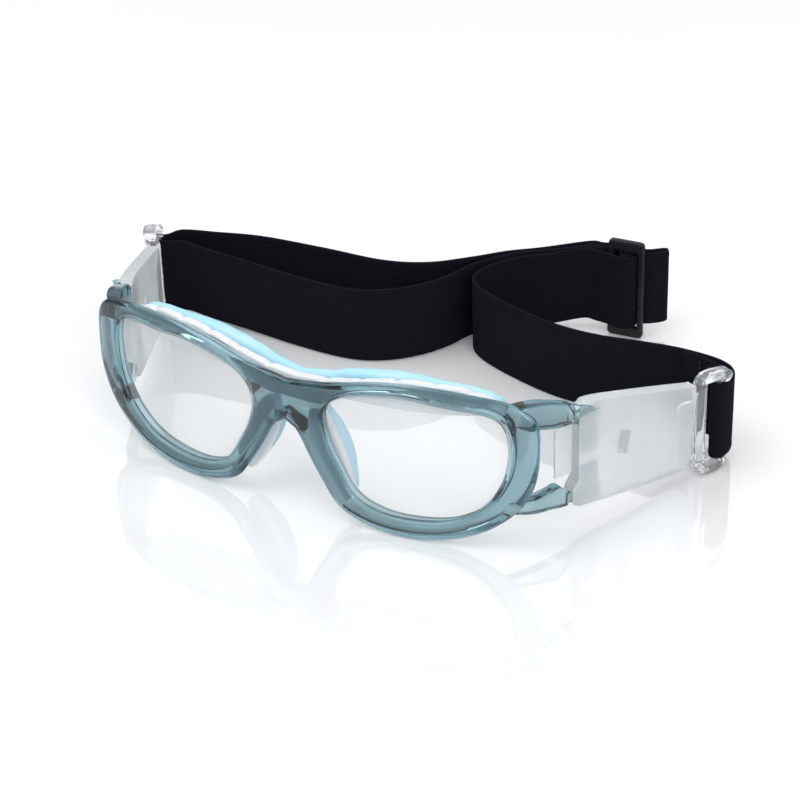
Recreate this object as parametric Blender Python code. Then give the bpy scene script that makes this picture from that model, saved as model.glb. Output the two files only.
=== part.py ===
"""Sports protective goggles, lying on a table: +Z up, +Y towards the back of the head, metres.

The origin is on the table under the middle of the whole object. Sizes below are millimetres.
Left and right are the wearer's, so left is +X.
"""
import math
import bpy
import bmesh
from mathutils import Vector

MM = 0.001
BACK_OFFSET = 67.71         # from the front of the bridge back to the origin
FIT_GAP = 0.3               # clearance between neighbouring pieces

# Front
WRAP = 0.00242              # the front bows back by WRAP * x * x
LEAN = 0.061                # the lens plane leans back by this much per mm of height
LEAN_HEIGHT = 27.0
RIM_DEPTH = 5.4
GROOVE_DEPTH = 1.0
GROOVE_FRONT = 1.8
GROOVE_BACK = 4.2
LENS_THICKNESS = GROOVE_BACK - GROOVE_FRONT - 2 * FIT_GAP
RIM_STATIONS = 72
OPENING_CENTRE = (37.0, 23.0)
# Lens opening and outer edge of the left half, as (distance from the middle, height)
OPENING = [(60.3, 37.0), (55.5, 39.6), (45.0, 40.2), (34.0, 40.9), (23.0, 39.6), (14.5, 36.5), (11.0, 31.0),
           (12.0, 24.0), (15.6, 16.5), (20.5, 9.2), (28.0, 5.9), (38.0, 5.5), (48.0, 7.4), (56.0, 12.8),
           (60.7, 21.0), (62.0, 30.0)]
OUTER = [(68.9, 38.5), (63.0, 43.2), (52.0, 44.9), (38.0, 45.4), (25.0, 44.2), (12.0, 41.3), (0.0, 39.7),
         (0.0, 27.3), (4.0, 24.6), (7.1, 18.8), (11.2, 12.0), (15.8, 5.6), (21.8, 2.3), (30.0, 0.4),
         (40.0, 0.3), (50.0, 2.3), (59.0, 6.9), (65.6, 13.4), (69.0, 21.0), (69.8, 30.0)]
BRIDGE_TOP = 6              # positions in OUTER of the two points on the middle line
BRIDGE_BOTTOM = 7

# Hinge line of each temple and the temple itself, in its own along / outward / up directions
HINGE = (72.6, 30.4)
HINGE_ALONG = 1.4
SPLAY = math.radians(25.0)
PLATE_THICKNESS = 4.0
PLATE = [(-2.0, 10.0), (-1.9, 20.0), (-1.6, 34.4), (-0.1, 36.9), (2.6, 37.6), (14.0, 34.9), (35.8, 29.3),
         (38.0, 28.1), (37.8, 20.0), (36.5, 6.6), (35.2, 4.4), (32.6, 3.8), (14.0, 5.0), (1.6, 5.9), (-1.2, 7.0)]
TONGUE = (-7.4, 14.6, 30.8)         # front edge, lowest and highest
TONGUE_THICKNESS = 0.7
SLOT = (11.3, 15.1, 17.8, 24.6)     # through slot: along from-to, height from-to
LUG_THICKNESS = 1.3
LUG_ALONG = (-2.6, 4.8)
POCKET = (-3.0, 5.7)
POCKET_WIDTH = 2.8
UPPER_LUG = (31.4, 35.6)
LOWER_LUG = (7.7, 11.0)
POCKET_CLEARANCE = 0.6

# Buckle: a clear ring with a tab that sits in the rear of the plate
RING_FRONT = 38.9
REAR_BAR = 47.6
REAR_BAR_OUT = 0.4
REAR_BAR_RADIUS = 0.95
RING_HEIGHT = (0.3, 32.2)
RING_WINDOW = (2.5, 27.6)
FRONT_BAR_WIDTH = 4.2
RING_THICKNESS = 2.6
TAB = (33.2, 8.0, 24.0)
TAB_THICKNESS = 1.2

# Strap and slider
STRAP_WIDTH = 24.0
STRAP_THICKNESS = 1.0
STRAP_STEP = 3.2
LOOP_RADIUS = REAR_BAR_RADIUS + FIT_GAP + STRAP_THICKNESS / 2
STRAP_AT_BUCKLE = 2.9
STRAP_ON_TABLE = 0.3
STRAP_AT_SLIDER = 4.0
SLIDER = (39.3, 127.6)
SLIDER_TURN = math.radians(5.0)
SLIDER_BAR_PITCH = 4.7
SLIDER_BAR = 1.8
SLIDER_HEIGHT = 32.0
SLIDER_RIM = 3.4

# Pads behind the front, as distance behind the front surface
CARRIER_DEPTH = (5.8, 8.2)
CARRIER_TOP = [(0.0, 37.5), (8.0, 37.9), (14.0, 38.6), (20.0, 39.7), (28.0, 41.2), (34.0, 41.9), (46.0, 42.1),
               (52.0, 41.2), (58.0, 39.2), (62.0, 37.4)]
BROW_TOP = [(0.0, 38.5), (8.5, 39.8), (14.0, 41.5), (20.0, 42.4), (28.0, 43.3), (34.0, 43.4), (41.0, 43.1),
            (47.0, 42.9), (52.0, 42.1), (57.0, 40.1), (62.0, 37.9)]
BROW_PAD_DEPTH = (8.5, 12.8)
BROW_HALF_WIDTH = 57.0
NOSE_LINE = [(5.6, 31.0), (7.8, 25.0), (10.6, 18.0), (13.6, 11.0), (16.6, 5.4)]
NOSE_BASE_DEPTH = (5.8, 8.0)
NOSE_PAD_DEPTH = (8.4, 12.4)


def place(x, y, z):
    """Model millimetres, measured from the front of the bridge, to metres from the origin."""
    return Vector((x, y - BACK_OFFSET, z)) * MM


def front_surface(x, z, depth):
    """A point that lies depth behind the curved front surface."""
    return place(x, WRAP * x * x + LEAN * (z - LEAN_HEIGHT) + depth, z)


def temple_point(side, along, out, z):
    """A point given in the temple's own directions; side is 1 on the left and -1 on the right."""
    x = HINGE[0] + math.sin(SPLAY) * along + math.cos(SPLAY) * out
    y = HINGE[1] + math.cos(SPLAY) * along - math.sin(SPLAY) * out
    return place(side * x, y, z)


def spline(points, steps, closed=False):
    """Catmull-Rom curve through the points; steps(a, b) gives the pieces of each stretch."""
    count = len(points)
    result = []
    for i in range(count if closed else count - 1):
        if closed:
            four = [points[(i + k) % count] for k in (-1, 0, 1, 2)]
        else:
            four = [points[min(max(i + k, 0), count - 1)] for k in (-1, 0, 1, 2)]
        p0, p1, p2, p3 = (Vector(p) for p in four)
        pieces = steps(p1, p2)
        for j in range(pieces):
            t = j / pieces
            result.append(0.5 * (2 * p1 + (p2 - p0) * t + (2 * p0 - 5 * p1 + 4 * p2 - p3) * t ** 2
                                 + (3 * p1 - p0 - 3 * p2 + p3) * t ** 3))
    if not closed:
        result.append(Vector(points[-1]))
    return result


def material(name, colour, roughness, alpha=1.0):
    mat = bpy.data.materials.new(name)
    mat.use_nodes = True
    shader = mat.node_tree.nodes["Principled BSDF"]
    shader.inputs["Base Color"].default_value = (*colour, 1.0)
    shader.inputs["Roughness"].default_value = roughness
    shader.inputs["Metallic"].default_value = 0.0
    shader.inputs["Alpha"].default_value = alpha
    return mat


def add_object(name, bm, mat, pivot=None, smooth=True):
    """Make an object from a bmesh in metres; pivot becomes the object's origin."""
    bmesh.ops.recalc_face_normals(bm, faces=bm.faces)
    origin = pivot if pivot is not None else Vector((0, 0, 0))
    bmesh.ops.translate(bm, vec=-origin, verts=bm.verts)
    mesh = bpy.data.meshes.new(name)
    bm.to_mesh(mesh)
    bm.free()
    if smooth:
        mesh.shade_smooth()
        mesh.set_sharp_from_angle(angle=math.radians(35))
    obj = bpy.data.objects.new(name, mesh)
    obj.location = origin
    obj.data.materials.append(mat)
    bpy.context.scene.collection.objects.link(obj)
    return obj


def loft(rings, closed_rings=False):
    """Join rings of points into one closed skin, with flat ends unless the rings close up."""
    bm = bmesh.new()
    rows = [[bm.verts.new(p) for p in ring] for ring in rings]
    size = len(rows[0])
    last = len(rows) if closed_rings else len(rows) - 1
    for i in range(last):
        here, there = rows[i], rows[(i + 1) % len(rows)]
        for j in range(size):
            k = (j + 1) % size
            bm.faces.new((here[j], here[k], there[k], there[j]))
    if not closed_rings:
        bm.faces.new(rows[0])
        bm.faces.new(rows[-1][::-1])
    return bm


def block(corner, along, out, height):
    """A box in a direction system: corner(a, b, z) turns its own coordinates into a point."""
    rings = []
    for z in height:
        rings.append([corner(along[0], out[0], z), corner(along[1], out[0], z),
                      corner(along[1], out[1], z), corner(along[0], out[1], z)])
    return loft(rings)


def add_bevel(obj, width, segments=2):
    bevel = obj.modifiers.new("rounded_edges", "BEVEL")
    bevel.width = width * MM
    bevel.segments = segments
    bevel.limit_method = "ANGLE"


def add_boolean(obj, other, operation):
    cut = obj.modifiers.new(operation.lower(), "BOOLEAN")
    cut.operation = operation
    cut.object = other
    other.hide_render = True
    other.display_type = "WIRE"


# ---------------------------------------------------------------- front, lenses

def rim_rows():
    """Matching points on the lens opening and the outer edge, all the way round one half."""
    fine_opening = spline([(x, z) for x, z in OPENING], lambda a, b: 12, closed=True)
    before = OUTER[BRIDGE_BOTTOM:] + OUTER[:BRIDGE_TOP + 1]
    fine_outer = spline(before, lambda a, b: 12)
    bridge = [Vector((0.0, OUTER[BRIDGE_TOP][1] + (OUTER[BRIDGE_BOTTOM][1] - OUTER[BRIDGE_TOP][1]) * t / 24))
              for t in range(1, 24)]
    fine_outer = fine_outer + bridge
    centre = Vector(OPENING_CENTRE)

    def crossing(curve, angle):
        direction = Vector((math.cos(angle), math.sin(angle)))
        normal = Vector((-direction.y, direction.x))
        for i, p in enumerate(curve):
            q = curve[(i + 1) % len(curve)]
            a, b = (p - centre).dot(normal), (q - centre).dot(normal)
            if a * b <= 0 and a != b:
                hit = p + (q - p) * (a / (a - b))
                if (hit - centre).dot(direction) > 0:
                    return hit
        return centre

    top_angle = math.atan2(OUTER[BRIDGE_TOP][1] - centre.y, -centre.x)
    bottom_angle = math.atan2(OUTER[BRIDGE_BOTTOM][1] - centre.y, -centre.x)
    bridge_steps = 8
    sweep = 2 * math.pi - (bottom_angle - top_angle)
    angles = [top_angle + (bottom_angle - top_angle) * i / bridge_steps for i in range(bridge_steps)]
    open_steps = RIM_STATIONS - bridge_steps
    angles += [bottom_angle + sweep * i / open_steps for i in range(open_steps)]
    rows = []
    for i, angle in enumerate(angles):
        inner = crossing(fine_opening, angle)
        outer = crossing(fine_outer, angle)
        on_middle = i <= bridge_steps
        if on_middle:
            outer.x = 0.0
        rows.append((inner, outer, on_middle))
    return rows


def rim_profile(inner, outer, on_middle):
    """Cross-section of the rim as (2-D point, depth), with the lens groove on the inside."""
    direction = (outer - inner).normalized()
    groove = inner + direction * GROOVE_DEPTH
    soft = 0.0 if on_middle else 1.0
    return [(inner, 0.9), (inner, GROOVE_FRONT), (groove, GROOVE_FRONT), (groove, GROOVE_BACK),
            (inner, GROOVE_BACK), (inner + direction * 0.6, RIM_DEPTH - 0.6), (inner + direction * 1.5, RIM_DEPTH),
            (outer - direction * soft * 3.2, RIM_DEPTH), (outer - direction * soft * 1.4, 3.7), (outer, 1.2),
            (outer - direction * soft, 0.1 * soft), (inner + direction * 1.2, 0.0)]


def half_front(bm, side):
    rows = rim_rows()
    rings = []
    for inner, outer, on_middle in rows:
        rings.append([bm.verts.new(front_surface(side * p.x, p.y, depth))
                      for p, depth in rim_profile(inner, outer, on_middle)])
    size = len(rings[0])
    for i in range(len(rings)):
        here, there = rings[i], rings[(i + 1) % len(rings)]
        for j in range(size):
            k = (j + 1) % size
            face = (here[j], here[k], there[k], there[j])
            if all(abs(v.co.x) < 1e-7 for v in face):
                continue
            bm.faces.new(face)


def arm_rings(side, z_start, z_lug, height_start, start_y):
    """Sections from the rim back to the lug that sits in the temple's pocket."""
    begin = Vector((65.6, start_y))
    end = Vector((HINGE[0] + math.sin(SPLAY) * (LUG_ALONG[0] - 0.8),
                  HINGE[1] + math.cos(SPLAY) * (LUG_ALONG[0] - 0.8)))
    rings = []
    lug_height = z_lug[1] - z_lug[0]
    z_end = (z_lug[0] + z_lug[1]) / 2
    steps = 6
    for i in range(steps + 1):
        t = i / steps
        x = begin.x + (end.x - begin.x) * t + 1.6 * math.sin(math.pi * t)
        y = begin.y + (end.y - begin.y) * t
        z = z_start + (z_end - z_start) * t
        half_height = (height_start + (lug_height - height_start) * t) / 2
        half_width = 2.0 - 0.5 * t
        turn = SPLAY * (0.5 + 0.5 * t)
        across = (math.cos(turn), -math.sin(turn))
        rings.append([place(side * (x + across[0] * b), y + across[1] * b, z + h)
                      for b, h in ((-half_width, -half_height), (half_width, -half_height),
                                   (half_width, half_height), (-half_width, half_height))])
    half = LUG_THICKNESS / 2
    for along in LUG_ALONG:
        rings.append([temple_point(side, along, b, z) for b, z in ((-half, z_lug[0]), (half, z_lug[0]),
                                                                   (half, z_lug[1]), (-half, z_lug[1]))])
    return rings


def make_front(mat):
    bm = bmesh.new()
    half_front(bm, 1)
    half_front(bm, -1)
    bmesh.ops.remove_doubles(bm, verts=bm.verts, dist=1e-6)
    front = add_object("frame_front", bm, mat)
    for side in (1, -1):
        for name, rings in (("upper", arm_rings(side, 39.3, UPPER_LUG, 7.4, 12.6)),
                            ("lower", arm_rings(side, 12.2, LOWER_LUG, 4.4, 12.6))):
            arm = add_object("arm_tool", loft(rings), mat)
            arm.name = "tool_arm_%s_%d" % (name, side)
            add_boolean(front, arm, "UNION")
    return front


def make_lens(side, mat):
    centre_depth = (GROOVE_FRONT + GROOVE_BACK) / 2
    bm = bmesh.new()
    layers = []
    rows = rim_rows()
    middle = Vector((0.0, 0.0))
    for inner, outer, on_middle in rows:
        middle += inner / len(rows)
    edge = [inner + (outer - inner).normalized() * (GROOVE_DEPTH - FIT_GAP) for inner, outer, on_middle in rows]
    for depth in (centre_depth - LENS_THICKNESS / 2, centre_depth + LENS_THICKNESS / 2):
        rings = []
        for share in (1.0, 0.66, 0.33):
            rings.append([bm.verts.new(front_surface(side * q.x, q.y, depth))
                          for q in (middle + (p - middle) * share for p in edge)])
        hub = bm.verts.new(front_surface(side * middle.x, middle.y, depth))
        layers.append((rings, hub))
    count = len(edge)
    for rings, hub in layers:
        for i in range(count):
            k = (i + 1) % count
            bm.faces.new((rings[0][i], rings[0][k], rings[1][k], rings[1][i]))
            bm.faces.new((rings[1][i], rings[1][k], rings[2][k], rings[2][i]))
            bm.faces.new((rings[2][i], rings[2][k], hub))
    for i in range(count):
        k = (i + 1) % count
        bm.faces.new((layers[0][0][0][i], layers[0][0][0][k], layers[1][0][0][k], layers[1][0][0][i]))
    return add_object("lens_left" if side > 0 else "lens_right", bm, mat)


# ---------------------------------------------------------------- pads

def height_at(table, x):
    """Height along the brow, from a short list of (distance from the middle, height)."""
    x = abs(x)
    for (x0, z0), (x1, z1) in zip(table, table[1:]):
        if x <= x1:
            return z0 + (z1 - z0) * (x - x0) / (x1 - x0)
    return table[-1][1]


def brow_strip(depths, low, top, half_width, stations):
    rings = []
    for i in range(stations + 1):
        x = half_width * (2 * i / stations - 1)
        taper = 1.0 - 0.55 * (abs(x) / half_width) ** 6
        high = height_at(top, x)
        bottom = high - (high - low(x)) * taper
        rings.append([front_surface(x, bottom, depths[0]), front_surface(x, high, depths[0]),
                      front_surface(x, high - 0.4, depths[1]), front_surface(x, bottom + 0.4, depths[1])])
    return loft(rings)


def make_brow(carrier_mat, pad_mat):
    carrier = add_object("insert_carrier",
                         brow_strip(CARRIER_DEPTH, lambda x: 34.6 - 1.6 * math.exp(-(x / 9.0) ** 6), CARRIER_TOP,
                                    BROW_HALF_WIDTH + 2.0, 40), carrier_mat)
    pad = add_object("brow_pad",
                     brow_strip(BROW_PAD_DEPTH, lambda x: 33.6 + 0.9 * math.cos(x * 0.62), BROW_TOP,
                                BROW_HALF_WIDTH, 56), pad_mat)
    return carrier, pad


def nose_strip(side, depths, half_width, ends):
    line = spline(NOSE_LINE, lambda a, b: 4)
    line = line[ends:len(line) - ends]
    rings = []
    for i, p in enumerate(line):
        ahead = line[min(i + 1, len(line) - 1)] - line[max(i - 1, 0)]
        across = Vector((ahead.y, -ahead.x)).normalized()
        t = i / (len(line) - 1)
        w = half_width * (0.55 + 0.45 * math.sin(math.pi * t))
        low, high = p - across * w, p + across * w
        rings.append([front_surface(side * q.x, q.y, d) for q, d in
                      ((low, depths[0]), (high, depths[0]), (high, depths[1] - 0.8),
                       (p, depths[1]), (low, depths[1] - 0.8))])
    return loft(rings)


def make_nose(side, base_mat, pad_mat):
    hand = "left" if side > 0 else "right"
    add_object("nose_pad_base_" + hand, nose_strip(side, NOSE_BASE_DEPTH, 2.9, 0), base_mat)
    add_object("nose_pad_" + hand, nose_strip(side, NOSE_PAD_DEPTH, 2.6, 1), pad_mat)


# ---------------------------------------------------------------- temples

def make_temple(side, plate_mat, buckle_mat):
    hand = "left" if side > 0 else "right"

    def corner(a, b, z):
        return temple_point(side, a, b, z)

    pivot = corner(HINGE_ALONG, 0.0, 0.0)
    half = PLATE_THICKNESS / 2
    outline = spline(PLATE, lambda a, b: 3, closed=True)
    plate = add_object("temple_plate_" + hand,
                       loft([[corner(a, b, z) for a, z in outline] for b in (-half, half)]), plate_mat, pivot)
    tongue = add_object("tool_tongue_" + hand,
                        block(corner, (TONGUE[0], 3.0), (-half, -half + TONGUE_THICKNESS), TONGUE[1:]), plate_mat)
    add_boolean(plate, tongue, "UNION")
    cuts = [block(corner, SLOT[:2], (-half - 1, half + 1), SLOT[2:]),
            block(corner, (TAB[0] - 0.4, 44.0), (-TAB_THICKNESS / 2 - FIT_GAP, TAB_THICKNESS / 2 + FIT_GAP),
                  (TAB[1] - 0.4, TAB[2] + 0.4))]
    for lug in (UPPER_LUG, LOWER_LUG):
        cuts.append(block(corner, POCKET, (-POCKET_WIDTH / 2, POCKET_WIDTH / 2),
                          (lug[0] - POCKET_CLEARANCE, lug[1] + POCKET_CLEARANCE)))
    for i, bm in enumerate(cuts):
        add_boolean(plate, add_object("tool_cut_%s_%d" % (hand, i), bm, plate_mat), "DIFFERENCE")

    half = RING_THICKNESS / 2
    ring_end = REAR_BAR + REAR_BAR_RADIUS
    buckle = add_object("temple_buckle_" + hand,
                        block(corner, (RING_FRONT, ring_end), (-half, half), RING_HEIGHT), buckle_mat, pivot)
    window = add_object("tool_window_" + hand,
                        block(corner, (RING_FRONT + FRONT_BAR_WIDTH, ring_end + 2), (-4.0, 4.0), RING_WINDOW),
                        buckle_mat)
    add_boolean(buckle, window, "DIFFERENCE")
    rings = []
    for z in (RING_WINDOW[0] - 1.0, RING_WINDOW[1] + 1.0):
        rings.append([corner(REAR_BAR + REAR_BAR_RADIUS * 0.97 * math.cos(t * math.pi / 6),
                             REAR_BAR_OUT + REAR_BAR_RADIUS * 0.97 * math.sin(t * math.pi / 6), z)
                      for t in range(12)])
    bar = add_object("tool_bar_" + hand, loft(rings), buckle_mat)
    add_boolean(buckle, bar, "UNION")
    tab = add_object("tool_tab_" + hand,
                     block(corner, (TAB[0], RING_FRONT + 1.0), (-TAB_THICKNESS / 2, TAB_THICKNESS / 2), TAB[1:]),
                     buckle_mat)
    add_boolean(buckle, tab, "UNION")


# ---------------------------------------------------------------- strap and slider

def slider_point(along, towards_front, z):
    """A point in the slider's own directions, measured from the middle of its centre bar."""
    x = SLIDER[0] + math.cos(SLIDER_TURN) * along + math.sin(SLIDER_TURN) * towards_front
    y = SLIDER[1] + math.sin(SLIDER_TURN) * along - math.cos(SLIDER_TURN) * towards_front
    return Vector((x, y, z))


def buckle_point(side, along, out, z=STRAP_AT_BUCKLE):
    point = temple_point(side, along, out, z) / MM
    return Vector((point.x, point.y + BACK_OFFSET, point.z))


def bar_loop(side, first, last, pieces):
    """Half turns of the strap round a buckle's rear bar; angles in degrees from straight back."""
    points = []
    for i in range(pieces + 1):
        angle = math.radians(first + (last - first) * i / pieces)
        points.append(buckle_point(side, REAR_BAR + LOOP_RADIUS * math.cos(angle),
                                   REAR_BAR_OUT + LOOP_RADIUS * math.sin(angle)))
    return points


def strap_route():
    """The strap's centre line from the end sewn round the slider to the end sewn at the left buckle."""
    low, mid = STRAP_ON_TABLE, STRAP_AT_BUCKLE
    high = STRAP_AT_SLIDER

    def at_slider(pairs):
        return [slider_point(a, n, high) for a, n in pairs]

    route = at_slider([(-13.0, -1.5), (-9.0, -2.1), (-5.2, -3.1), (-2.6, -2.9), (-0.4, -1.8)])
    route += at_slider([(1.72 * math.cos(math.radians(t)), 1.72 * math.sin(math.radians(t)))
                        for t in (-50, -10, 30, 70, 110, 150, 180)])
    route += at_slider([(-2.4, -1.1), (-4.4, -1.75), (-9.0, -0.7), (-13.0, 0.0)])
    route += [Vector(p) for p in ((18.5, 122.6, 2.8), (10.0, 118.4, 1.8), (3.0, 112.6, 1.0), (-1.8, 105.0, 0.6),
                                  (-4.6, 97.0, low), (-9.0, 88.6, low), (-16.5, 80.8, low), (-27.0, 76.2, low),
                                  (-44.0, 75.2, 0.6), (-63.0, 75.4, 1.5), (-77.0, 75.0, 2.4))]
    route += [buckle_point(-1, 45.6, -8.0), buckle_point(-1, 45.3, -3.4)]
    route += bar_loop(-1, 190, 0, 6)
    route += [buckle_point(-1, 50.1, -2.4), buckle_point(-1, 53.2, -6.4)]
    route += [Vector(p) for p in ((-80.0, 85.0, 2.6), (-66.0, 90.2, 2.0), (-46.0, 93.6, 1.2), (-27.0, 96.4, low),
                                  (-14.0, 101.4, low), (-3.5, 109.6, 0.8), (5.0, 116.6, 1.6), (14.0, 121.6, 2.6))]
    route += at_slider([(-13.0, -3.0), (-9.0, -3.6), (-4.7, -4.4), (0.0, -4.4), (4.7, -4.3), (7.0, -5.5),
                        (9.2, -7.1), (10.4, -7.1), (10.4, -5.9), (8.4, -3.9), (5.7, -2.2), (4.1, -1.72),
                        (3.15, -0.8), (3.0, 0.8), (2.3, 2.5), (0.6, 3.15), (-1.6, 3.1), (-4.7, 2.3),
                        (-9.0, 1.6), (-13.0, 1.5)])
    route += [Vector(p) for p in ((18.5, 119.9, 2.6), (11.0, 115.6, 1.8), (5.4, 110.2, 1.0), (2.4, 104.4, 0.5),
                                  (2.6, 99.6, low), (6.4, 95.4, low), (14.5, 91.4, low), (27.0, 87.4, low),
                                  (39.0, 85.0, low), (51.0, 84.6, 0.6), (63.0, 85.4, 1.4), (75.0, 85.6, 2.3))]
    route += [buckle_point(1, 54.6, -10.6), buckle_point(1, 55.4, -5.0), buckle_point(1, 54.3, -1.5),
              buckle_point(1, 51.6, 0.9)]
    route += bar_loop(1, 75, 230, 5)
    route += [buckle_point(1, 49.8, -2.6), buckle_point(1, 53.0, -5.6), buckle_point(1, 52.9, -10.4),
              buckle_point(1, 50.8, -18.0)]
    return route


def make_strap(mat):
    line = spline(strap_route(), lambda a, b: max(1, round((b - a).length / STRAP_STEP)))
    half = STRAP_THICKNESS / 2
    rings = []
    for i, p in enumerate(line):
        ahead = line[min(i + 1, len(line) - 1)] - line[max(i - 1, 0)]
        across = Vector((ahead.y, -ahead.x, 0.0)).normalized() * half
        rings.append([place(*(p + across * s + Vector((0, 0, h)))) for s, h in
                      ((-1, 0.0), (1, 0.0), (1, STRAP_WIDTH), (-1, STRAP_WIDTH))])
    return add_object("strap_band", loft(rings), mat)


def make_slider(mat):
    half = SLIDER_BAR / 2
    reach = SLIDER_BAR_PITCH + half
    low = STRAP_AT_SLIDER + STRAP_WIDTH / 2 - SLIDER_HEIGHT / 2

    def corner(a, b, z):
        return place(*slider_point(a, b, z))

    slider = add_object("strap_slider", block(corner, (-reach, reach), (-half, half), (low, low + SLIDER_HEIGHT)),
                        mat, corner(0.0, 0.0, low))
    for i, start in enumerate((-SLIDER_BAR_PITCH, 0.0)):
        slot = block(corner, (start + half, start + SLIDER_BAR_PITCH - half), (-4.0, 4.0),
                     (low + SLIDER_RIM, low + SLIDER_HEIGHT - SLIDER_RIM))
        add_boolean(slider, add_object("tool_slider_slot_%d" % i, slot, mat), "DIFFERENCE")
    add_bevel(slider, 0.35)
    return slider


def main():
    for obj in list(bpy.data.objects):
        bpy.data.objects.remove(obj, do_unlink=True)
    frame_mat = material("teal_polycarbonate", (0.30, 0.47, 0.50), 0.08, 0.6)
    lens_mat = material("clear_lens", (0.95, 0.97, 0.98), 0.03, 0.2)
    carrier_mat = material("white_carrier", (0.86, 0.88, 0.91), 0.25, 0.8)
    pad_mat = material("blue_silicone", (0.42, 0.74, 0.86), 0.45)
    plate_mat = material("frosted_silicone", (0.80, 0.83, 0.88), 0.4, 0.8)
    buckle_mat = material("clear_buckle", (0.90, 0.92, 0.95), 0.05, 0.3)
    strap_mat = material("black_elastic", (0.012, 0.011, 0.016), 0.9)
    slider_mat = material("black_acetal", (0.02, 0.02, 0.025), 0.35)
    make_front(frame_mat)
    make_brow(carrier_mat, pad_mat)
    for side in (1, -1):
        make_lens(side, lens_mat)
        make_nose(side, carrier_mat, pad_mat)
        make_temple(side, plate_mat, buckle_mat)
    make_strap(strap_mat)
    make_slider(slider_mat)


main()
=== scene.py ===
"""The looks of the sports goggles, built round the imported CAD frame. Sizes are millimetres."""
import math
import random
import bpy
import bmesh
from mathutils import Matrix, Vector


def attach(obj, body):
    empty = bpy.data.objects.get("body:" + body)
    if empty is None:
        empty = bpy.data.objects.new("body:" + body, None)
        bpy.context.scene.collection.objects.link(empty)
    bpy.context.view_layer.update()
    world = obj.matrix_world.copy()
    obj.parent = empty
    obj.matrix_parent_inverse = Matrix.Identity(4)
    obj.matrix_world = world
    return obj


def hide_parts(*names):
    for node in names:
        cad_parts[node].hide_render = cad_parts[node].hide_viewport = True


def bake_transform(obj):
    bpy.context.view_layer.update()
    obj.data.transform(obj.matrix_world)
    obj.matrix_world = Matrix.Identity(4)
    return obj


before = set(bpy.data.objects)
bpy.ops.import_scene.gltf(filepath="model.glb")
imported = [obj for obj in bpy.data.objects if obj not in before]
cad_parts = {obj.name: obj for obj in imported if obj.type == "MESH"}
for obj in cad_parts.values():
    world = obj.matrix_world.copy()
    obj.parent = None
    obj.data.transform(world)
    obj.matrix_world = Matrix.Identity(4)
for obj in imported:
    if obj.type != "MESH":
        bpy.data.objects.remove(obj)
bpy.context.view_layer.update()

MM = 0.001
# From the front of the bridge back to the middle of the object
BACK_OFFSET = 67.71
# The front bends back with the square of the distance from its middle, and leans back with height
WRAP = 0.00242
LEAN = 0.061
LEAN_HEIGHT = 27.0
RIM_DEPTH = 5.4
GROOVE_DEPTH = 1.0
GROOVE_FRONT = 1.8
GROOVE_BACK = 4.2
# Outlines seen from the front, as (distance from the middle, height)
OPENING_CENTRE = (37.0, 23.0)
OPENING = [(60.3, 37.0), (55.5, 39.6), (45.0, 40.2), (34.0, 40.9), (23.0, 39.6), (14.5, 36.5), (11.0, 31.0),
           (12.0, 24.0), (15.6, 16.5), (20.5, 9.2), (28.0, 5.9), (38.0, 5.5), (48.0, 7.4), (56.0, 12.8),
           (60.7, 21.0), (62.0, 30.0)]
OUTER = [(68.9, 38.5), (63.0, 43.2), (52.0, 44.9), (38.0, 45.4), (25.0, 44.2), (12.0, 41.3), (0.0, 39.7),
         (0.0, 27.5), (1.5, 27.1), (3.4, 25.3), (5.1, 22.6), (7.1, 18.8), (11.2, 12.0), (15.8, 5.6),
         (21.8, 2.3), (30.0, 0.4), (40.0, 0.3), (50.0, 2.3), (59.0, 6.9), (65.6, 13.4), (69.0, 21.0),
         (69.8, 30.0)]
# Places in OUTER of the two points on the middle plane
BRIDGE_TOP = 6
BRIDGE_BOTTOM = 7
# Each temple has its own directions: along it from the hinge, out from the head, and up
HINGE = (72.6, 30.4)
SPLAY = math.radians(25.0)
PLATE_THICKNESS = 4.0
PLATE_INNER_TRIM = 0.2
PLATE_BEVEL = 1.0
# Outline of the plate, as (along, height)
PLATE = [(-2.2, 14.6), (-1.9, 17.0), (-1.7, 34.0), (-0.2, 36.7), (2.6, 37.4), (14.0, 34.9), (35.8, 29.3),
         (37.9, 28.1), (37.8, 20.0), (36.6, 6.6), (35.4, 4.6), (32.6, 3.9), (14.0, 5.1), (1.6, 6.2),
         (-2.4, 7.0), (-3.6, 8.4), (-3.8, 11.6), (-3.2, 13.2)]
# Front end of the tongue, its bottom and its top
TONGUE = (-7.4, 15.8, 30.8)
TONGUE_ROOT = 3.0
TONGUE_THICKNESS = 0.7
SLOT = [(10.9, 18.4), (14.3, 17.1), (15.5, 24.0), (12.1, 25.2)]
LUG_THICKNESS = 1.1
UPPER_LUG_ALONG = (-2.6, 4.8)
LOWER_LUG_ALONG = (-4.6, 4.8)
POCKET = (-6.0, 5.7)
POCKET_WIDTH = 3.0
UPPER_LUG = (31.4, 35.6)
LOWER_LUG = (7.7, 11.0)
POCKET_CLEARANCE = 0.6
CUT_OVERLAP = 0.02
# Front end of the buckle's tab, its bottom and its top
TAB = (33.2, 8.0, 24.0)
TAB_BACK = 39.6
TAB_THICKNESS = 1.2
TAB_CLEARANCE = 0.4
TAB_SIDE_CLEARANCE = 0.3
BEHIND_PLATE = 44.0
NOSE_LINE = [(5.6, 31.0), (7.8, 25.0), (10.6, 18.0), (13.6, 11.0), (16.6, 5.4)]
# The buckle's bar that the strap goes round: its place along and out
REAR_BAR = 47.6
REAR_BAR_OUT = 0.4
REAR_BAR_RADIUS = 0.95
REAR_BAR_GAP = 0.3
STRAP_WIDTH = 24.0
STRAP_THICKNESS = 1.0
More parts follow.
